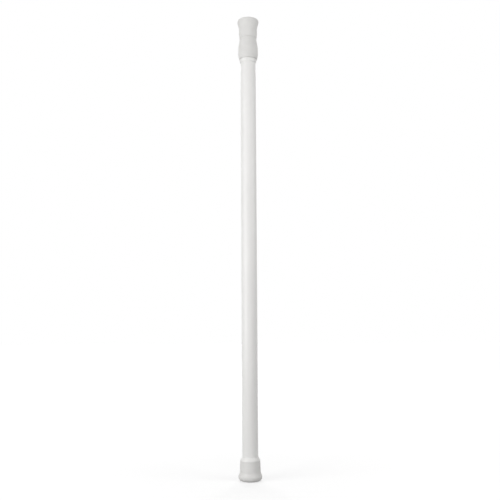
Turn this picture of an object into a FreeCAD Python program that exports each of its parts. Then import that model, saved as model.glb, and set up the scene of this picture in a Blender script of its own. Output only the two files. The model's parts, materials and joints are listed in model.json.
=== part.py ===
import FreeCAD, Part
import os
import Sketcher

# Driving dimensions in millimetres
DIMENSIONS = {
    # Tubes
    "outer_tube_dia": 15.9,
    "outer_tube_wall": 0.6,
    "outer_tube_length": 442.9,
    "tube_gap": 1.0,
    "inner_tube_wall": 0.5,
    # Lower foot
    "lower_foot_floor": 4.0,
    "lower_foot_height": 19.4,
    "lower_foot_wall": 2.35,
    "lower_foot_draft": 0.4,
    "lower_flare_width": 1.5,
    "lower_flare_start": 4.9,
    "lower_flare_height": 3.3,
    "lower_edge_round": 3.8,
    "lower_rim_round": 2.0,
    "lower_flare_round": 4.0,
    "lower_mouth_round": 0.15,
    # Lower ferrule
    "lower_ferrule_wall": 0.65,
    "lower_ferrule_depth": 8.0,
    "lower_shoulder_height": 3.7,
    "lower_shoulder_land": 0.9,
    "lower_shoulder_draft": 0.15,
    "lower_shoulder_edge": 0.2,
    "lower_shoulder_round": 2.0,
    "lower_shoulder_rim_round": 0.15,
    # Upper foot
    "upper_foot_floor": 4.0,
    "upper_foot_height": 20.2,
    "upper_foot_wall": 3.2,
    "upper_foot_rim_wall": 2.65,
    "upper_taper_height": 4.6,
    "upper_taper_round": 8.0,
    "upper_flare_width": 1.6,
    "upper_flare_depth": 2.8,
    "upper_flare_height": 5.8,
    "upper_flare_round": 8.0,
    "upper_brim_round": 4.0,
    "upper_edge_round": 1.6,
    "upper_rim_round": 0.2,
    # Mouth ferrule
    "ferrule_length": 21.3,
    "ferrule_wall": 0.65,
    "ferrule_edge": 0.4,
    "ferrule_skirt_height": 3.3,
    "ferrule_skirt_rise": 0.8,
    "ferrule_skirt_round": 0.25,
    # Collar
    "collar_lip_gap": 0.3,
    "collar_lip_wall": 0.75,
    "collar_lip_round": 0.3,
    "collar_wall": 1.8,
    "collar_taper_height": 4.9,
    "collar_taper_round": 8.0,
    "collar_barrel_height": 7.4,
    "collar_flare_round": 35.0,
    "collar_neck_wall": 2.1,
    "collar_neck_height": 1.6,
    "collar_neck_round": 7.0,
    "collar_rim_round": 0.2,
    "collar_lip_height": 3.8,
    "collar_clearance": 0.45,
    "foot_seam_gap": 0.1,
    # Mouth bush
    "bush_length": 18.0,
    "bush_flange_height": 1.2,
    "bush_flange_clearance": 0.2,
    "bush_end_play": 0.1,
    "bush_turn_clearance": 0.1,
    "bush_slide_clearance": 0.08,
    # End plugs
    "lower_plug_flange": 1.0,
    "lower_plug_length": 10.0,
    "lower_plug_wall": 1.2,
    "lower_plug_floor": 2.5,
    "upper_plug_flange": 1.0,
    "upper_plug_length": 9.0,
    "upper_plug_wall": 1.2,
    "upper_plug_floor": 2.5,
    # Cam lock
    "parking_gap": 1.5,
    "screw_head_dia": 4.6,
    "screw_head_height": 1.8,
    "screw_head_round": 0.8,
    "screw_shank_dia": 2.2,
    "screw_grip": 7.5,
    "screw_tip_gap": 0.5,
    "screw_slot_width": 0.7,
    "screw_slot_depth": 0.9,
    "washer_dia": 11.2,
    "washer_height": 1.0,
    "washer_clearance": 0.1,
    "cam_offset": 0.8,
    "cam_gap": 0.55,
    "cam_ring_height": 12.0,
    "cam_ring_play": 0.1,
    "cam_slit_width": 1.2,
    "journal_dia": 8.4,
    "journal_clearance": 0.05,
    "hub_height": 8.5,
    "hub_clearance": 0.45,
    # Plunger and spring
    "plunger_flats": 4.0,
    "plunger_stroke": 30.0,
    "plunger_reserve": 2.0,
    "hub_socket_depth": 7.0,
    "head_socket_depth": 6.5,
    "head_disc_height": 2.5,
    "head_seat_gap": 0.05,
    "head_clearance": 0.3,
    "head_stem_height": 6.0,
    "head_pin_dia": 1.5,
    "head_pin_height": 4.5,
    "head_pin_inset": 0.2,
    "spring_wire": 1.2,
    "spring_length": 100.0,
    "spring_pitch": 6.25,
    "spring_clearance": 0.45,
    "stem_clearance": 0.3,
    # Spring stop
    "stop_height": 12.0,
    "stop_stem_height": 6.0,
    "stop_pin_dia": 2.5,
    "stop_pin_inset": 0.15,
    # Tail bush
    "tail_flange_height": 2.0,
    "tail_flange_clearance": 0.15,
    "tail_length": 16.0,
    "tail_hex_clearance": 0.1,
    "tail_pin_dia": 2.0,
    "tail_pin_length": 3.0,
    "tail_pin_inset": 0.15,
    "tail_pin_height": 8.0,
}

# Fitted sizes and heights in the stack, which follow from the driving dimensions
LAYOUT = {
    "outer_radius": "Dims.outer_tube_dia / 2",
    "outer_bore": "outer_radius - Dims.outer_tube_wall",
    "inner_radius": "outer_bore - Dims.tube_gap",
    "inner_bore": "inner_radius - Dims.inner_tube_wall",
    "ferrule_radius": "outer_radius + Dims.ferrule_wall",
    "lower_ferrule_radius": "outer_radius + Dims.lower_ferrule_wall",
    "hex_radius": "Dims.plunger_flats / sqrt(3)",
    "spring_outer": "inner_bore - Dims.spring_clearance",
    "spring_mean": "spring_outer - Dims.spring_wire / 2",
    "stem_radius": "spring_outer - Dims.spring_wire - Dims.stem_clearance",
    "lower_ferrule_bottom": "Dims.lower_foot_height - Dims.lower_ferrule_depth",
    "tube_bottom": "Dims.lower_foot_floor + Dims.lower_plug_flange",
    "tube_top": "tube_bottom + Dims.outer_tube_length",
    "ferrule_bottom": "tube_top - Dims.ferrule_length",
    "collar_bottom": "ferrule_bottom + Dims.ferrule_skirt_height + Dims.collar_lip_gap",
    "bush_bottom": "tube_top + Dims.bush_end_play - Dims.bush_length",
    "collar_shoulder": "tube_top + Dims.bush_flange_height + 2 * Dims.bush_end_play",
    "collar_top": "collar_shoulder + Dims.collar_lip_height",
    "upper_foot_bottom": "collar_top + Dims.foot_seam_gap",
    "rod_top": "upper_foot_bottom + Dims.upper_foot_height",
    "inner_top": "rod_top - Dims.upper_foot_floor - Dims.upper_plug_flange",
    "screw_bottom": "tube_bottom + Dims.lower_plug_length + Dims.parking_gap",
    "washer_bottom": "screw_bottom + Dims.screw_head_height",
    "core_bottom": "washer_bottom + Dims.washer_height",
    "journal_height": "Dims.cam_ring_height + 2 * Dims.cam_ring_play",
    "hub_bottom": "core_bottom + journal_height",
    "hub_top": "hub_bottom + Dims.hub_height",
    "plunger_bottom": "hub_top - Dims.hub_socket_depth",
    "tail_bottom": "hub_top + Dims.plunger_stroke + Dims.plunger_reserve",
    "inner_bottom": "tail_bottom + Dims.tail_flange_height",
    "head_bottom": "inner_bottom + Dims.tail_length + Dims.head_seat_gap",
    "plunger_top": "head_bottom + Dims.head_socket_depth",
    "spring_bottom": "head_bottom + Dims.head_disc_height",
    "stop_bottom": "spring_bottom + Dims.spring_length",
}

X_AXIS = FreeCAD.Vector(1, 0, 0)
Y_AXIS = FreeCAD.Vector(0, 1, 0)
Z_AXIS = FreeCAD.Vector(0, 0, 1)

# Sketch numbering: the two axes, and the points of a line or circle
BASE_LINE = -1
AXIS_LINE = -2
START = 1
END = 2
CENTRE = 3
ORIGIN = (BASE_LINE, START)

doc = FreeCAD.newDocument("SpringTensionRod")


def fill_sheet(name, entries):
    """Make a sheet with one named cell per entry."""
    sheet = doc.addObject("Spreadsheet::Sheet", name)
    for row, (alias, content) in enumerate(entries.items(), start=1):
        sheet.set(f"A{row}", alias)
        sheet.set(f"B{row}", content)
        sheet.setAlias(f"B{row}", alias)
    doc.recompute()


def value(expression):
    """Present number of an expression, read through a spare cell."""
    gauge.set("A1", f"={expression}")
    gauge.recompute()
    return float(gauge.get("A1"))


def bind(target, **expressions):
    """Drive properties of an object from the sheets."""
    for name, expression in expressions.items():
        target.setExpression(name, expression)


def place(target, x="0", z="0"):
    """Drive the position of an object from the sheets."""
    target.setExpression("Placement.Base.x", x)
    target.setExpression("Placement.Base.z", z)


def new_sketch(body, name, role):
    """Sketch on one of the body's own origin planes."""
    plane = next(f for f in body.Origin.OriginFeatures if f.Role == role)
    sketch = body.newObject("Sketcher::SketchObject", name)
    sketch.AttachmentSupport = [(plane, "")]
    sketch.MapMode = "FlatFace"
    return sketch


def drive(sketch, name, constraint, expression):
    """Add a dimension to a sketch and drive it from the sheets."""
    index = sketch.addConstraint(constraint)
    sketch.renameConstraint(index, name)
    sketch.setExpression(f"Constraints.{name}", expression)


def draw_outline(sketch, corners, rounds):
    """Closed outline through (across, along) corners, some of them rounded."""
    points = [FreeCAD.Vector(value(across), value(along), 0) for across, along in corners]
    count = len(points)
    for index in range(count):
        sketch.addGeometry(Part.LineSegment(points[index], points[(index + 1) % count]), False)
    for index in range(count):
        sketch.addConstraint(Sketcher.Constraint("Coincident", index, END, (index + 1) % count, START))
    for index, (across, along) in enumerate(corners):
        if across == "0":
            sketch.addConstraint(Sketcher.Constraint("PointOnObject", index, START, AXIS_LINE))
        else:
            distance = Sketcher.Constraint("DistanceX", *ORIGIN, index, START, points[index].x)
            drive(sketch, f"across_{index}", distance, across)
        if along == "0":
            sketch.addConstraint(Sketcher.Constraint("PointOnObject", index, START, BASE_LINE))
        else:
            distance = Sketcher.Constraint("DistanceY", *ORIGIN, index, START, points[index].y)
            drive(sketch, f"along_{index}", distance, along)
    doc.recompute()
    for index, radius in rounds.items():
        arc = sketch.GeometryCount
        sketch.fillet(index, START, value(radius), True, True)
        drive(sketch, f"round_{index}", Sketcher.Constraint("Radius", arc, value(radius)), radius)
    doc.recompute()


def turned(name, height, corners, rounds=None):
    """Body turned about the rod's axis from an outline of (radius, height) corners."""
    body = doc.addObject("PartDesign::Body", name)
    place(body, z=height)
    sketch = new_sketch(body, f"{name}_outline", "XZ_Plane")
    draw_outline(sketch, corners, rounds or {})
    turn = body.newObject("PartDesign::Revolution", f"{name}_turn")
    turn.Profile = sketch
    turn.ReferenceAxis = (sketch, ["V_Axis"])
    turn.Angle = 360
    doc.recompute()
    return body


def ring(name, outer, inner, length, x="0", z="0"):
    """Plain tube or washer, padded from two circles."""
    body = doc.addObject("PartDesign::Body", name)
    place(body, x, z)
    sketch = new_sketch(body, f"{name}_circles", "XY_Plane")
    for index, (label, radius) in enumerate((("outer", outer), ("inner", inner))):
        sketch.addGeometry(Part.Circle(FreeCAD.Vector(), Z_AXIS, value(radius)), False)
        sketch.addConstraint(Sketcher.Constraint("Coincident", index, CENTRE, *ORIGIN))
        drive(sketch, f"{label}_radius", Sketcher.Constraint("Radius", index, value(radius)), radius)
    pad = body.newObject("PartDesign::Pad", f"{name}_pad")
    pad.Profile = sketch
    bind(pad, Length=length)
    doc.recompute()
    return body


def cylinder(name, radius, length, x="0", z="0"):
    """Upright cylinder."""
    solid = doc.addObject("Part::Cylinder", name)
    bind(solid, Radius=radius, Height=length)
    place(solid, x, z)
    return solid


def cross_cylinder(name, diameter, start, length, z):
    """Cylinder along X, for a cross pin or its hole."""
    solid = doc.addObject("Part::Cylinder", name)
    solid.Placement = FreeCAD.Placement(FreeCAD.Vector(), FreeCAD.Rotation(Y_AXIS, 90))
    bind(solid, Radius=f"{diameter} / 2", Height=length)
    place(solid, start, z)
    return solid


def hexagon(name, radius, length, z):
    """Upright six-sided bar."""
    solid = doc.addObject("Part::Prism", name)
    solid.Polygon = 6
    bind(solid, Circumradius=radius, Height=length)
    place(solid, z=z)
    return solid


def fused(name, solids):
    """One solid, or one group of separate solids, from several."""
    result = doc.addObject("Part::MultiFuse", name)
    result.Shapes = solids
    doc.recompute()
    return result


def cut(name, base, *tools):
    """Base with every tool taken out of it."""
    for index, tool in enumerate(tools, start=1):
        result = doc.addObject("Part::Cut", name if index == len(tools) else f"{name}_cut_{index}")
        result.Base = base
        result.Tool = tool
        doc.recompute()
        base = result
    return base


fill_sheet("Dims", {alias: str(number) for alias, number in DIMENSIONS.items()})
fill_sheet("Layout", {alias: f"={formula}" for alias, formula in LAYOUT.items()})
gauge = doc.addObject("Spreadsheet::Sheet", "Gauge")

# Lower foot: flat pad with a rounded edge, flare and a barrel whose bore is wider over the ferrule
lower_barrel = "Layout.outer_radius + Dims.lower_foot_wall"
lower_rim = f"{lower_barrel} + Dims.lower_flare_width"
lower_mouth = f"{lower_barrel} - Dims.lower_foot_draft"
lower_foot = turned(
    "lower_foot",
    "0",
    [
        ("0", "0"),
        (lower_rim, "0"),
        (lower_rim, "Dims.lower_flare_start"),
        (lower_barrel, "Dims.lower_flare_start + Dims.lower_flare_height"),
        (lower_mouth, "Dims.lower_foot_height"),
        ("Layout.lower_ferrule_radius", "Dims.lower_foot_height"),
        ("Layout.lower_ferrule_radius", "Layout.lower_ferrule_bottom"),
        ("Layout.outer_radius", "Layout.lower_ferrule_bottom"),
        ("Layout.outer_radius", "Dims.lower_foot_floor"),
        ("0", "Dims.lower_foot_floor"),
    ],
    {
        1: "Dims.lower_edge_round",
        2: "Dims.lower_rim_round",
        3: "Dims.lower_flare_round",
        4: "Dims.lower_mouth_round",
    },
)

# Lower ferrule: sleeve on the tube, held in the foot, with a tapered shoulder on the foot's mouth
lower_shoulder_top = "Dims.lower_ferrule_depth + Dims.lower_shoulder_height"
lower_ferrule = turned(
    "lower_ferrule",
    "Layout.lower_ferrule_bottom",
    [
        ("Layout.outer_radius", "0"),
        ("Layout.lower_ferrule_radius", "0"),
        ("Layout.lower_ferrule_radius", "Dims.lower_ferrule_depth"),
        (lower_mouth, "Dims.lower_ferrule_depth"),
        (
            f"{lower_mouth} - Dims.lower_shoulder_draft",
            "Dims.lower_ferrule_depth + Dims.lower_shoulder_land",
        ),
        ("Layout.outer_radius + Dims.lower_shoulder_edge", lower_shoulder_top),
        ("Layout.outer_radius", lower_shoulder_top),
    ],
    {3: "Dims.lower_shoulder_rim_round", 4: "Dims.lower_shoulder_round"},
)

# Lower end plug: flange under the tube's end and a cup inside the tube
lower_end_plug = turned(
    "lower_end_plug",
    "Dims.lower_foot_floor",
    [
        ("0", "0"),
        ("Layout.outer_radius", "0"),
        ("Layout.outer_radius", "Dims.lower_plug_flange"),
        ("Layout.outer_bore", "Dims.lower_plug_flange"),
        ("Layout.outer_bore", "Dims.lower_plug_flange + Dims.lower_plug_length"),
        ("Layout.outer_bore - Dims.lower_plug_wall", "Dims.lower_plug_flange + Dims.lower_plug_length"),
        ("Layout.outer_bore - Dims.lower_plug_wall", "Dims.lower_plug_floor"),
        ("0", "Dims.lower_plug_floor"),
    ],
)

# Outer tube
outer_tube = ring(
    "outer_tube",
    "Layout.outer_radius",
    "Layout.outer_bore",
    "Dims.outer_tube_length",
    z="Layout.tube_bottom",
)

# Mouth ferrule: sleeve on the tube's open end with a tapered skirt below the collar
ferrule_edge = "Layout.outer_radius + Dims.ferrule_edge"
ferrule_skirt = f"{ferrule_edge} + Dims.ferrule_skirt_rise"
mouth_ferrule = turned(
    "mouth_ferrule",
    "Layout.ferrule_bottom",
    [
        ("Layout.outer_radius", "0"),
        (ferrule_edge, "0"),
        (ferrule_skirt, "Dims.ferrule_skirt_height"),
        ("Layout.ferrule_radius", "Dims.ferrule_skirt_height"),
        ("Layout.ferrule_radius", "Dims.ferrule_length"),
        ("Layout.outer_radius", "Dims.ferrule_length"),
    ],
    {2: "Dims.ferrule_skirt_round"},
)

# Collar: lip over the ferrule, barrel, waisted neck and an inner lip over the mouth bush
collar_barrel = "Layout.ferrule_radius + Dims.collar_wall"
collar_neck = "Layout.inner_radius + Dims.collar_clearance + Dims.collar_neck_wall"
collar_hole = "Layout.inner_radius + Dims.collar_clearance"
collar_height = "Layout.collar_top - Layout.collar_bottom"
collar_step = "Layout.collar_shoulder - Layout.collar_bottom"
collar = turned(
    "collar",
    "Layout.collar_bottom",
    [
        ("Layout.ferrule_radius", "0"),
        ("Layout.ferrule_radius + Dims.collar_lip_wall", "0"),
        (collar_barrel, "Dims.collar_taper_height"),
        (collar_barrel, "Dims.collar_taper_height + Dims.collar_barrel_height"),
        (collar_neck, f"{collar_height} - Dims.collar_neck_height"),
        (collar_neck, collar_height),
        (collar_hole, collar_height),
        (collar_hole, collar_step),
        ("Layout.ferrule_radius", collar_step),
    ],
    {
        1: "Dims.collar_lip_round",
        2: "Dims.collar_taper_round",
        3: "Dims.collar_flare_round",
        4: "Dims.collar_neck_round",
        5: "Dims.collar_rim_round",
    },
)

# Mouth bush: sleeve between the two tubes with a flange on the outer tube's end
bush_bore = "Layout.inner_radius + Dims.bush_slide_clearance"
bush_sleeve = "Layout.outer_bore - Dims.bush_turn_clearance"
bush_flange = "Layout.ferrule_radius - Dims.bush_flange_clearance"
mouth_bush = turned(
    "mouth_bush",
    "Layout.bush_bottom",
    [
        (bush_bore, "0"),
        (bush_sleeve, "0"),
        (bush_sleeve, "Dims.bush_length"),
        (bush_flange, "Dims.bush_length"),
        (bush_flange, "Dims.bush_length + Dims.bush_flange_height"),
        (bush_bore, "Dims.bush_length + Dims.bush_flange_height"),
    ],
)

# Cross pins and the heights that they share with their holes
stop_pin_height = "Layout.stop_bottom + Dims.stop_height / 2"
stop_pin_reach = "Layout.inner_radius - Dims.stop_pin_inset"
tail_pin_height = "Layout.inner_bottom + Dims.tail_pin_height"
tail_pin_reach = "Layout.inner_radius - Dims.tail_pin_inset"
head_pin_height = "Layout.head_bottom + Dims.head_pin_height"
head_pin_reach = "Layout.stem_radius - Dims.head_pin_inset"


def stop_pin_solid(name):
    """Cross pin through the inner tube and the spring stop."""
    return cross_cylinder(
        name, "Dims.stop_pin_dia", f"-({stop_pin_reach})", f"2 * ({stop_pin_reach})", stop_pin_height
    )


def tail_pin_solids(name):
    """Two short pins, one from each side of the inner tube into the tail bush."""
    starts = (f"{tail_pin_reach} - Dims.tail_pin_length", f"-({tail_pin_reach})")
    pins = [
        cross_cylinder(f"{name}_{side}", "Dims.tail_pin_dia", start, "Dims.tail_pin_length", tail_pin_height)
        for side, start in zip(("right", "left"), starts)
    ]
    return fused(name, pins)


def head_pin_solid(name):
    """Cross pin through the plunger head and the plunger."""
    return cross_cylinder(
        name, "Dims.head_pin_dia", f"-({head_pin_reach})", f"2 * ({head_pin_reach})", head_pin_height
    )


def wall_hole(name, diameter, z):
    """Hole through both walls of the inner tube."""
    return cross_cylinder(name, diameter, "-Layout.outer_radius", "2 * Layout.outer_radius", z)


spring_stop_pin = stop_pin_solid("spring_stop_pin")
tail_bush_pins = tail_pin_solids("tail_bush_pins")
plunger_head_pin = head_pin_solid("plunger_head_pin")

# Inner tube with the holes of its pins
inner_tube = cut(
    "inner_tube",
    ring(
        "inner_tube_blank",
        "Layout.inner_radius",
        "Layout.inner_bore",
        "Layout.inner_top - Layout.inner_bottom",
        z="Layout.inner_bottom",
    ),
    wall_hole("inner_tube_stop_hole", "Dims.stop_pin_dia", stop_pin_height),
    wall_hole("inner_tube_tail_hole", "Dims.tail_pin_dia", tail_pin_height),
)

# Upper end plug: cup inside the inner tube and a flange on its end
upper_plug_bore = "Layout.inner_bore - Dims.upper_plug_wall"
upper_plug_height = "Dims.upper_plug_length + Dims.upper_plug_flange"
upper_end_plug = turned(
    "upper_end_plug",
    "Layout.inner_top - Dims.upper_plug_length",
    [
        (upper_plug_bore, "0"),
        ("Layout.inner_bore", "0"),
        ("Layout.inner_bore", "Dims.upper_plug_length"),
        ("Layout.inner_radius", "Dims.upper_plug_length"),
        ("Layout.inner_radius", upper_plug_height),
        ("0", upper_plug_height),
        ("0", f"{upper_plug_height} - Dims.upper_plug_floor"),
        (upper_plug_bore, f"{upper_plug_height} - Dims.upper_plug_floor"),
    ],
)

# Upper foot: tapered rim above the collar, barrel, flare and flat pad
upper_barrel = "Layout.inner_radius + Dims.upper_foot_wall"
upper_rim = f"{upper_barrel} + Dims.upper_flare_width"
upper_flare_top = "Dims.upper_foot_height - Dims.upper_flare_depth"
upper_foot = turned(
    "upper_foot",
    "Layout.upper_foot_bottom",
    [
        ("Layout.inner_radius", "0"),
        ("Layout.inner_radius + Dims.upper_foot_rim_wall", "0"),
        (upper_barrel, "Dims.upper_taper_height"),
        (upper_barrel, f"{upper_flare_top} - Dims.upper_flare_height"),
        (upper_rim, upper_flare_top),
        (upper_rim, "Dims.upper_foot_height"),
        ("0", "Dims.upper_foot_height"),
        ("0", "Dims.upper_foot_height - Dims.upper_foot_floor"),
        ("Layout.inner_radius", "Dims.upper_foot_height - Dims.upper_foot_floor"),
    ],
    {
        1: "Dims.upper_rim_round",
        2: "Dims.upper_taper_round",
        3: "Dims.upper_flare_round",
        4: "Dims.upper_brim_round",
        5: "Dims.upper_edge_round",
    },
)

# Spring stop: plug pinned in the inner tube with a stem inside the spring
spring_stop = cut(
    "spring_stop",
    turned(
        "spring_stop_blank",
        "Layout.stop_bottom - Dims.stop_stem_height",
        [
            ("0", "0"),
            ("Layout.stem_radius", "0"),
            ("Layout.stem_radius", "Dims.stop_stem_height"),
            ("Layout.inner_bore", "Dims.stop_stem_height"),
            ("Layout.inner_bore", "Dims.stop_stem_height + Dims.stop_height"),
            ("0", "Dims.stop_stem_height + Dims.stop_height"),
        ],
    ),
    stop_pin_solid("spring_stop_hole"),
)

# Tail bush: flange under the inner tube's end, pinned spigot and a six-sided bore
tail_bush = cut(
    "tail_bush",
    turned(
        "tail_bush_blank",
        "Layout.tail_bottom",
        [
            ("0", "0"),
            ("Layout.outer_bore - Dims.tail_flange_clearance", "0"),
            ("Layout.outer_bore - Dims.tail_flange_clearance", "Dims.tail_flange_height"),
            ("Layout.inner_bore", "Dims.tail_flange_height"),
            ("Layout.inner_bore", "Dims.tail_flange_height + Dims.tail_length"),
            ("0", "Dims.tail_flange_height + Dims.tail_length"),
        ],
    ),
    hexagon(
        "tail_bush_bore",
        "Layout.hex_radius + 2 * Dims.tail_hex_clearance / sqrt(3)",
        "Dims.tail_flange_height + Dims.tail_length",
        "Layout.tail_bottom",
    ),
    tail_pin_solids("tail_bush_holes"),
)

# Compression spring with its two ends ground flat
spring_line = doc.addObject("Part::Helix", "spring_line")
bind(
    spring_line,
    Pitch="Dims.spring_pitch",
    Height="Dims.spring_length",
    Radius="Layout.spring_mean",
)
place(spring_line, z="Layout.spring_bottom")
spring_section = doc.addObject("Part::Circle", "spring_section")
spring_section.Placement = FreeCAD.Placement(FreeCAD.Vector(), FreeCAD.Rotation(X_AXIS, 90))
bind(spring_section, Radius="Dims.spring_wire / 2")
place(spring_section, "Layout.spring_mean", "Layout.spring_bottom")
doc.recompute()
spring_coil = doc.addObject("Part::Sweep", "spring_coil")
spring_coil.Sections = [spring_section]
spring_coil.Spine = (spring_line, [f"Edge{index + 1}" for index in range(len(spring_line.Shape.Edges))])
spring_coil.Solid = True
spring_coil.Frenet = True
spring = doc.addObject("Part::Common", "spring")
spring.Base = spring_coil
spring.Tool = cylinder(
    "spring_space", "Layout.inner_bore", "Dims.spring_length", z="Layout.spring_bottom"
)

# Plunger: six-sided rod from the lock core to the head under the spring
plunger_rod = cut(
    "plunger_rod",
    hexagon(
        "plunger_bar",
        "Layout.hex_radius",
        "Layout.plunger_top - Layout.plunger_bottom",
        "Layout.plunger_bottom",
    ),
    head_pin_solid("plunger_rod_hole"),
)

# Plunger head: disc under the spring, stem inside it, socket for the rod
plunger_head = cut(
    "plunger_head",
    turned(
        "plunger_head_blank",
        "Layout.head_bottom",
        [
            ("0", "0"),
            ("Layout.inner_bore - Dims.head_clearance", "0"),
            ("Layout.inner_bore - Dims.head_clearance", "Dims.head_disc_height"),
            ("Layout.stem_radius", "Dims.head_disc_height"),
            ("Layout.stem_radius", "Dims.head_disc_height + Dims.head_stem_height"),
            ("0", "Dims.head_disc_height + Dims.head_stem_height"),
        ],
    ),
    hexagon("plunger_head_socket", "Layout.hex_radius", "Dims.head_socket_depth", "Layout.head_bottom"),
    head_pin_solid("plunger_head_hole"),
)

# Lock core: hub on the rod's axis, journal beside it, sockets for the plunger and the screw
screw_hole_depth = "Dims.screw_grip + Dims.screw_tip_gap"
lock_core = cut(
    "lock_core",
    fused(
        "lock_core_blank",
        [
            cylinder(
                "lock_core_hub",
                "Layout.outer_bore - Dims.hub_clearance",
                "Dims.hub_height",
                z="Layout.hub_bottom",
            ),
            cylinder(
                "lock_core_journal",
                "Dims.journal_dia / 2",
                "Layout.journal_height",
                "Dims.cam_offset",
                "Layout.core_bottom",
            ),
        ],
    ),
    hexagon("lock_core_socket", "Layout.hex_radius", "Dims.hub_socket_depth", "Layout.plunger_bottom"),
    cylinder(
        "lock_core_screw_hole",
        "Dims.screw_shank_dia / 2",
        screw_hole_depth,
        "Dims.cam_offset",
        "Layout.core_bottom",
    ),
)

# Cam ring: ring with an off-centre bore, slit through its thick side
cam_bottom = "Layout.core_bottom + Dims.cam_ring_play"
cam_slit = doc.addObject("Part::Box", "cam_ring_slit")
bind(
    cam_slit,
    Length="Layout.outer_bore + Dims.cam_offset",
    Width="Dims.cam_slit_width",
    Height="Dims.cam_ring_height",
)
bind(cam_slit, **{"Placement.Base.y": "-Dims.cam_slit_width / 2"})
place(cam_slit, "-Layout.outer_bore", cam_bottom)
cam_ring = cut(
    "cam_ring",
    cylinder(
        "cam_ring_blank",
        "Layout.outer_bore - Dims.cam_gap",
        "Dims.cam_ring_height",
        z=cam_bottom,
    ),
    cylinder(
        "cam_ring_bore",
        "Dims.journal_dia / 2 + Dims.journal_clearance",
        "Dims.cam_ring_height",
        "Dims.cam_offset",
        cam_bottom,
    ),
    cam_slit,
)

# Washer and screw that keep the cam ring on its journal
core_washer = ring(
    "core_washer",
    "Dims.washer_dia / 2",
    "Dims.screw_shank_dia / 2 + Dims.washer_clearance",
    "Dims.washer_height",
    "Dims.cam_offset",
    "Layout.washer_bottom",
)
screw_blank = turned(
    "core_screw_blank",
    "Layout.screw_bottom",
    [
        ("0", "0"),
        ("Dims.screw_head_dia / 2", "0"),
        ("Dims.screw_head_dia / 2", "Dims.screw_head_height"),
        ("Dims.screw_shank_dia / 2", "Dims.screw_head_height"),
        ("Dims.screw_shank_dia / 2", "Dims.screw_head_height + Dims.washer_height + Dims.screw_grip"),
        ("0", "Dims.screw_head_height + Dims.washer_height + Dims.screw_grip"),
    ],
    {1: "Dims.screw_head_round"},
)
place(screw_blank, "Dims.cam_offset", "Layout.screw_bottom")
screw_slot = doc.addObject("Part::Box", "core_screw_slot")
bind(
    screw_slot,
    Length="Dims.screw_head_dia",
    Width="Dims.screw_slot_width",
    Height="Dims.screw_slot_depth",
)
bind(screw_slot, **{"Placement.Base.y": "-Dims.screw_slot_width / 2"})
place(screw_slot, "Dims.cam_offset - Dims.screw_head_dia / 2", "Layout.screw_bottom")
core_screw = cut("core_screw", screw_blank, screw_slot)

PIECES = [
    lower_foot,
    lower_ferrule,
    lower_end_plug,
    outer_tube,
    mouth_ferrule,
    collar,
    mouth_bush,
    inner_tube,
    upper_end_plug,
    upper_foot,
    spring_stop,
    spring_stop_pin,
    tail_bush,
    tail_bush_pins,
    spring,
    plunger_head,
    plunger_head_pin,
    plunger_rod,
    lock_core,
    cam_ring,
    core_washer,
    core_screw,
]

doc.removeObject(gauge.Name)
doc.recompute()
for item in doc.Objects:
    if "Invalid" in item.State or "Error" in item.State:
        raise RuntimeError(f"{item.Name} did not build")

os.makedirs("parts", exist_ok=True)
for piece in PIECES:
    shape = piece.Shape
    if shape.isNull() or not shape.isValid():
        raise RuntimeError(f"{piece.Label} has no sound shape")
    shape.exportStep(f"parts/{piece.Label}.step")
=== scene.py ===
import json
import math

import bpy
from mathutils import Matrix, Vector


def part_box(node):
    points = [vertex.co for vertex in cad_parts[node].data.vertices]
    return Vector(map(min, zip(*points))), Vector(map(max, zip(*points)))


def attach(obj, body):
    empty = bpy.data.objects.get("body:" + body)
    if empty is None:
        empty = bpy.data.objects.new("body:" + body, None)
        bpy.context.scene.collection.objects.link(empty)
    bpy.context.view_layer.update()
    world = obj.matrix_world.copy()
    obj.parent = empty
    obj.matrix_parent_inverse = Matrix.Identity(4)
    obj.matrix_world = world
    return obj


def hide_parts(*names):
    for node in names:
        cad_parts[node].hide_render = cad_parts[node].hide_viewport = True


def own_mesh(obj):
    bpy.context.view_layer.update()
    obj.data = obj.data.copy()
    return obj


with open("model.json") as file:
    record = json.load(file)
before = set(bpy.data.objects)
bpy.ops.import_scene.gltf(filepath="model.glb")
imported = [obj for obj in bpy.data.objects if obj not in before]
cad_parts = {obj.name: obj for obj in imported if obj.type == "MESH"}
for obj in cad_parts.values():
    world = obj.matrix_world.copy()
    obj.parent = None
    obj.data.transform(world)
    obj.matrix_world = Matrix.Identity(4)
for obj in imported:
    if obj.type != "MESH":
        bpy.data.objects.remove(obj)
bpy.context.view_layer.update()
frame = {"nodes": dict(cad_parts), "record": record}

# Tube pieces that stand for the coarse CAD tubes, in metres
TUBE_SEGMENTS = 160
TUBE_EDGE = 0.00012
TUBE_EDGE_STEPS = 4
OUTER_TUBE_WALL = 0.0006
INNER_TUBE_WALL = 0.0005
SHARP_ANGLE = math.radians(40)

# Spring piece that stands for the CAD coil
SPRING_TURNS = 16
SPRING_WIRE = 0.0012
SPRING_TURN_STEPS = 48
SPRING_WIRE_STEPS = 14

# Part of a noise's range that its colours and roughness are spread over
NOISE_LOW = 0.3
NOISE_HIGH = 0.7

# Marks of drawn steel, long in the rod's direction
DRAWN_STRETCH = (1, 1, 0.06)

# Surround, which shows white and lights the rod softly
WHITE = (1, 1, 1, 1)
WORLD_SHOWN = 1.0
WORLD_LIGHT = 0.26

# Floor, whose glow makes it show white, weaker near the rod, where the lights add to it
FLOOR_REACH = 6.0
FLOOR_COLOUR = (0.45, 0.45, 0.45, 1)
FLOOR_FADE = 1.4
FLOOR_GLOW_FAR = 0.91
FLOOR_GLOW_NEAR = 0.605

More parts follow.
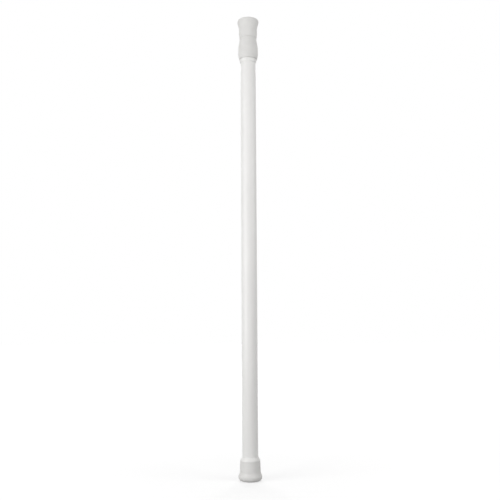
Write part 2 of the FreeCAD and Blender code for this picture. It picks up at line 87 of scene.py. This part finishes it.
# Area lights: name, place, point that it is turned to, width and height, watts
LIGHTS = (
    ("key", (-0.84, -0.6, 0.38), (0, 0, 0.27), (0.8, 1.1), 6.8),
    ("low_key", (-0.75, -0.6, 0.1), (0, 0, 0.1), (0.6, 0.6), 1.5),
    ("fill", (0.53, -0.27, 0.47), (0, 0, 0.41), (0.4, 0.5), 1.35),
    ("front", (0.1, -1.3, 0.5), (0, 0, 0.27), (1.3, 1.3), 4.0),
    ("back", (0.0, 0.85, 1.1), (0, 0, 0.25), (0.9, 0.6), 6.5),
)

# Camera, with its lens and sensor in millimetres
CAMERA_AT = (0.0009, -0.7107, 0.149)
CAMERA_PITCH = math.radians(6.4)
CAMERA_ROLL = math.radians(-0.32)
CAMERA_LENS = 50.4
CAMERA_SENSOR = 36.0
CAMERA_CLIP = 0.01


def new_material(name):
    """Material with its node tree, principled shader and object coordinates."""
    material = bpy.data.materials.new(name)
    material.use_nodes = True
    tree = material.node_tree
    shader = tree.nodes["Principled BSDF"]
    coordinates = tree.nodes.new("ShaderNodeTexCoord")
    return material, tree, shader, coordinates.outputs["Object"]


def noise(tree, vector, scale, detail, stretch=(1, 1, 1)):
    """Noise in features per metre, stretched along the axes."""
    mapping = tree.nodes.new("ShaderNodeMapping")
    mapping.inputs["Scale"].default_value = stretch
    tree.links.new(vector, mapping.inputs["Vector"])
    texture = tree.nodes.new("ShaderNodeTexNoise")
    texture.inputs["Scale"].default_value = scale
    texture.inputs["Detail"].default_value = detail
    tree.links.new(mapping.outputs["Vector"], texture.inputs["Vector"])
    return texture.outputs["Fac"]


def tint(tree, shader, factor, low, high):
    """Base colour that goes from low to high with the factor."""
    node = tree.nodes.new("ShaderNodeValToRGB")
    ends = zip(node.color_ramp.elements, (NOISE_LOW, NOISE_HIGH), (low, high))
    for element, position, colour in ends:
        element.position = position
        element.color = (*colour, 1)
    tree.links.new(factor, node.inputs["Fac"])
    tree.links.new(node.outputs["Color"], shader.inputs["Base Color"])


def roughen(tree, shader, factor, low, high):
    """Roughness that goes from low to high with the factor."""
    node = tree.nodes.new("ShaderNodeMapRange")
    node.inputs["From Min"].default_value = NOISE_LOW
    node.inputs["From Max"].default_value = NOISE_HIGH
    node.inputs["To Min"].default_value = low
    node.inputs["To Max"].default_value = high
    tree.links.new(factor, node.inputs["Value"])
    tree.links.new(node.outputs["Result"], shader.inputs["Roughness"])


def bump(tree, shader, height, strength, distance, under=None):
    """Bump from a height, over another bump if there is one."""
    node = tree.nodes.new("ShaderNodeBump")
    node.inputs["Strength"].default_value = strength
    node.inputs["Distance"].default_value = distance
    tree.links.new(height, node.inputs["Height"])
    if under is not None:
        tree.links.new(under, node.inputs["Normal"])
    tree.links.new(node.outputs["Normal"], shader.inputs["Normal"])
    return node.outputs["Normal"]


def enamel():
    """Stoved white enamel: smooth gloss with a faint orange peel."""
    material, tree, shader, place = new_material("white_enamel_detail")
    blotch = noise(tree, place, scale=60, detail=3.0, stretch=(1, 1, 0.25))
    tint(tree, shader, blotch, low=(0.845, 0.838, 0.823), high=(0.872, 0.866, 0.852))
    smear = noise(tree, place, scale=350, detail=4.0)
    roughen(tree, shader, smear, low=0.3, high=0.38)
    shader.inputs["Coat Weight"].default_value = 0.15
    shader.inputs["Coat Roughness"].default_value = 0.2
    peel = noise(tree, place, scale=650, detail=1.0)
    bump(tree, shader, peel, strength=0.06, distance=0.0002)
    return material


def vinyl():
    """Soft off-white vinyl: matte with a fine moulded grain."""
    material, tree, shader, place = new_material("soft_vinyl_detail")
    blotch = noise(tree, place, scale=140, detail=3.0)
    tint(tree, shader, blotch, low=(0.742, 0.735, 0.718), high=(0.776, 0.769, 0.753))
    smear = noise(tree, place, scale=700, detail=3.0)
    roughen(tree, shader, smear, low=0.5, high=0.64)
    swell = noise(tree, place, scale=260, detail=1.0)
    swollen = bump(tree, shader, swell, strength=0.05, distance=0.0004)
    grain = noise(tree, place, scale=2600, detail=2.0)
    bump(tree, shader, grain, strength=0.16, distance=0.0001, under=swollen)
    return material


def moulded_white():
    """Smooth white moulding."""
    material, tree, shader, place = new_material("white_plastic_detail")
    blotch = noise(tree, place, scale=110, detail=2.0)
    tint(tree, shader, blotch, low=(0.844, 0.837, 0.821), high=(0.858, 0.852, 0.837))
    smear = noise(tree, place, scale=500, detail=2.0)
    roughen(tree, shader, smear, low=0.27, high=0.32)
    grain = noise(tree, place, scale=900, detail=1.0)
    bump(tree, shader, grain, strength=0.012, distance=0.0001)
    return material


def nylon():
    """Uncoloured nylon with a slightly cloudy tone."""
    material, tree, shader, place = new_material("natural_nylon_detail")
    cloud = noise(tree, place, scale=180, detail=3.0)
    tint(tree, shader, cloud, low=(0.77, 0.745, 0.67), high=(0.82, 0.8, 0.735))
    smear = noise(tree, place, scale=600, detail=3.0)
    roughen(tree, shader, smear, low=0.38, high=0.52)
    grain = noise(tree, place, scale=1800, detail=2.0)
    bump(tree, shader, grain, strength=0.08, distance=0.0001)
    return material


def steel(name, low, high, rough_low, rough_high):
    """Drawn steel with fine marks along the rod."""
    material, tree, shader, place = new_material(name)
    marks = noise(tree, place, scale=900, detail=4.0, stretch=DRAWN_STRETCH)
    tint(tree, shader, marks, low, high)
    roughen(tree, shader, marks, rough_low, rough_high)
    shader.inputs["Metallic"].default_value = 1.0
    grooves = noise(tree, place, scale=1600, detail=2.0, stretch=DRAWN_STRETCH)
    bump(tree, shader, grooves, strength=0.08, distance=0.0001)
    return material


MATERIALS = {
    "white_enamel": enamel(),
    "soft_vinyl": vinyl(),
    "white_plastic": moulded_white(),
    "natural_nylon": nylon(),
    "bright_steel": steel(
        "bright_steel_detail", (0.56, 0.56, 0.57), (0.66, 0.66, 0.67), 0.24, 0.4
    ),
    "spring_steel": steel(
        "spring_steel_detail", (0.34, 0.34, 0.36), (0.46, 0.46, 0.48), 0.3, 0.45
    ),
}

# Every CAD node takes the detailed material of its slot
for subpart in frame["record"]["subparts"]:
    node = frame["nodes"][subpart["node"]]
    node.data.materials.clear()
    node.data.materials.append(MATERIALS[subpart["material_slot"]])


def new_object(name, data):
    """Object in the scene that holds the data."""
    made = bpy.data.objects.new(name, data)
    bpy.context.scene.collection.objects.link(made)
    return made


def finish_piece(name, vertices, faces, node, body, slot):
    """Smooth mesh that stands for a CAD node and rides on its body."""
    mesh = bpy.data.meshes.new(name)
    mesh.from_pydata(vertices, [], faces)
    mesh.polygons.foreach_set("use_smooth", [True] * len(faces))
    mesh.set_sharp_from_angle(angle=SHARP_ANGLE)
    mesh.materials.append(MATERIALS[slot])
    piece = new_object(name, mesh)
    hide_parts(node)
    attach(piece, body)
    return piece


def tube_outline(low, high, outer, inner):
    """Closed (radius, height) outline of a tube's wall with rounded edges, anticlockwise."""
    corners = (
        (outer - TUBE_EDGE, low + TUBE_EDGE, 270),
        (outer - TUBE_EDGE, high - TUBE_EDGE, 0),
        (inner + TUBE_EDGE, high - TUBE_EDGE, 90),
        (inner + TUBE_EDGE, low + TUBE_EDGE, 180),
    )
    outline = []
    for radius, height, start in corners:
        for step in range(TUBE_EDGE_STEPS + 1):
            angle = math.radians(start + 90 * step / TUBE_EDGE_STEPS)
            outline.append(
                (radius + TUBE_EDGE * math.cos(angle), height + TUBE_EDGE * math.sin(angle))
            )
    return outline


def tube_piece(name, node, wall, body, slot):
    """Finely turned tube in place of a CAD tube."""
    low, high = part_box(node)
    outer = (high.x - low.x) / 2
    outline = tube_outline(low.z, high.z, outer, outer - wall)
    count = len(outline)
    vertices = []
    for segment in range(TUBE_SEGMENTS):
        angle = 2 * math.pi * segment / TUBE_SEGMENTS
        for radius, height in outline:
            vertices.append((radius * math.cos(angle), radius * math.sin(angle), height))
    faces = []
    for segment in range(TUBE_SEGMENTS):
        here = segment * count
        there = (segment + 1) % TUBE_SEGMENTS * count
        for index in range(count):
            after = (index + 1) % count
            faces.append((here + index, there + index, there + after, here + after))
    finish_piece(name, vertices, faces, node, body, slot)


def spring_piece(name, node, body, slot):
    """Round-wire coil with ground ends, wound at an even pitch."""
    low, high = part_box(node)
    mean = (high.x - low.x - SPRING_WIRE) / 2
    rise = (high.z - low.z) / (2 * math.pi * SPRING_TURNS)
    slope = math.atan2(rise, mean)
    steps = SPRING_TURNS * SPRING_TURN_STEPS
    vertices = []
    for step in range(steps + 1):
        turn = 2 * math.pi * step / SPRING_TURN_STEPS
        outward = Vector((math.cos(turn), math.sin(turn), 0))
        level = Vector((-math.sin(turn), math.cos(turn), 0))
        along = math.cos(slope) * level + Vector((0, 0, math.sin(slope)))
        upward = outward.cross(along)
        centre = mean * outward + Vector((0, 0, low.z + rise * turn))
        for side in range(SPRING_WIRE_STEPS):
            angle = 2 * math.pi * side / SPRING_WIRE_STEPS
            across = math.cos(angle) * outward + math.sin(angle) * upward
            point = centre + SPRING_WIRE / 2 * across
            vertices.append((point.x, point.y, min(max(point.z, low.z), high.z)))
    faces = []
    for step in range(steps):
        here = step * SPRING_WIRE_STEPS
        there = here + SPRING_WIRE_STEPS
        for side in range(SPRING_WIRE_STEPS):
            after = (side + 1) % SPRING_WIRE_STEPS
            faces.append((here + side, here + after, there + after, there + side))
    last = steps * SPRING_WIRE_STEPS
    faces.append(tuple(reversed(range(SPRING_WIRE_STEPS))))
    faces.append(tuple(range(last, last + SPRING_WIRE_STEPS)))
    piece = finish_piece(name, vertices, faces, node, body, slot)
    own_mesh(piece)


tube_piece("outer_tube_fine", "outer_tube", OUTER_TUBE_WALL, "outer", "white_enamel")
tube_piece("inner_tube_fine", "inner_tube", INNER_TUBE_WALL, "inner", "white_enamel")
spring_piece("spring_fine", "spring", "inner", "spring_steel")


def shows_background(tree):
    """Factor of the rays that show the background: seen, mirrored or through something clear."""
    paths = tree.nodes.new("ShaderNodeLightPath")
    factor = paths.outputs["Is Camera Ray"]
    for kind in ("Is Glossy Ray", "Is Transmission Ray"):
        either = tree.nodes.new("ShaderNodeMath")
        either.operation = "MAXIMUM"
        tree.links.new(factor, either.inputs[0])
        tree.links.new(paths.outputs[kind], either.inputs[1])
        factor = either.outputs["Value"]
    return factor


def show_or_light(tree, light, shown, output):
    """Output that takes one shader where it shows and another where it only lights."""
    mix = tree.nodes.new("ShaderNodeMixShader")
    tree.links.new(shows_background(tree), mix.inputs["Fac"])
    tree.links.new(light, mix.inputs[1])
    tree.links.new(shown, mix.inputs[2])
    tree.links.new(mix.outputs["Shader"], tree.nodes.new(output).inputs["Surface"])


def plain_background(tree, strength):
    """Even white background."""
    node = tree.nodes.new("ShaderNodeBackground")
    node.inputs["Color"].default_value = WHITE
    node.inputs["Strength"].default_value = strength
    return node.outputs["Background"]


def white_world():
    """Plain even surround, white where it shows."""
    world = bpy.data.worlds.new("studio")
    bpy.context.scene.world = world
    world.use_nodes = True
    tree = world.node_tree
    tree.nodes.clear()
    light = plain_background(tree, WORLD_LIGHT)
    shown = plain_background(tree, WORLD_SHOWN)
    show_or_light(tree, light, shown, "ShaderNodeOutputWorld")


def floor_glow(tree):
    """Glow that grows with the distance from the rod."""
    coordinates = tree.nodes.new("ShaderNodeTexCoord")
    mapping = tree.nodes.new("ShaderNodeMapping")
    mapping.inputs["Scale"].default_value = (1 / FLOOR_FADE, 1 / FLOOR_FADE, 1)
    tree.links.new(coordinates.outputs["Object"], mapping.inputs["Vector"])
    nearness = tree.nodes.new("ShaderNodeTexGradient")
    nearness.gradient_type = "SPHERICAL"
    tree.links.new(mapping.outputs["Vector"], nearness.inputs["Vector"])
    level = tree.nodes.new("ShaderNodeMapRange")
    level.inputs["To Min"].default_value = FLOOR_GLOW_FAR
    level.inputs["To Max"].default_value = FLOOR_GLOW_NEAR
    tree.links.new(nearness.outputs["Fac"], level.inputs["Value"])
    glow = tree.nodes.new("ShaderNodeEmission")
    glow.inputs["Color"].default_value = WHITE
    tree.links.new(level.outputs["Result"], glow.inputs["Strength"])
    return glow.outputs["Emission"]


def floor_material():
    """Paper that glows where it shows."""
    material = bpy.data.materials.new("floor_white")
    material.use_nodes = True
    tree = material.node_tree
    tree.nodes.clear()
    paper = tree.nodes.new("ShaderNodeBsdfDiffuse")
    paper.inputs["Color"].default_value = FLOOR_COLOUR
    both = tree.nodes.new("ShaderNodeAddShader")
    tree.links.new(paper.outputs["BSDF"], both.inputs[0])
    tree.links.new(floor_glow(tree), both.inputs[1])
    show_or_light(tree, paper.outputs["BSDF"], both.outputs["Shader"], "ShaderNodeOutputMaterial")
    return material


def white_floor():
    """Floor that shows white and keeps the rod's soft shadow."""
    signs = ((-1, -1), (1, -1), (1, 1), (-1, 1))
    corners = [(FLOOR_REACH * x, FLOOR_REACH * y, 0) for x, y in signs]
    mesh = bpy.data.meshes.new("floor")
    mesh.from_pydata(corners, [], [(0, 1, 2, 3)])
    mesh.materials.append(floor_material())
    floor = new_object("floor", mesh)


def area_light(name, place, target, size, watts):
    """Soft rectangular light turned towards a point."""
    data = bpy.data.lights.new(name, "AREA")
    data.shape = "RECTANGLE"
    data.size, data.size_y = size
    data.energy = watts
    light = new_object(name, data)
    light.location = place
    ahead = Vector(target) - Vector(place)
    light.rotation_euler = ahead.to_track_quat("-Z", "Y").to_euler()


def photo_camera():
    """Camera in front of the rod, low and tipped up."""
    data = bpy.data.cameras.new("camera")
    data.lens = CAMERA_LENS
    data.sensor_width = CAMERA_SENSOR
    data.clip_start = CAMERA_CLIP
    camera = new_object("camera", data)
    camera.location = CAMERA_AT
    ahead = Vector((0, math.cos(CAMERA_PITCH), math.sin(CAMERA_PITCH)))
    turn = ahead.to_track_quat("-Z", "Y").to_matrix() @ Matrix.Rotation(CAMERA_ROLL, 3, "Z")
    camera.rotation_euler = turn.to_euler()
    bpy.context.scene.camera = camera


white_world()
white_floor()
for light in LIGHTS:
    area_light(*light)
photo_camera()
bpy.context.scene.view_settings.view_transform = "Standard"
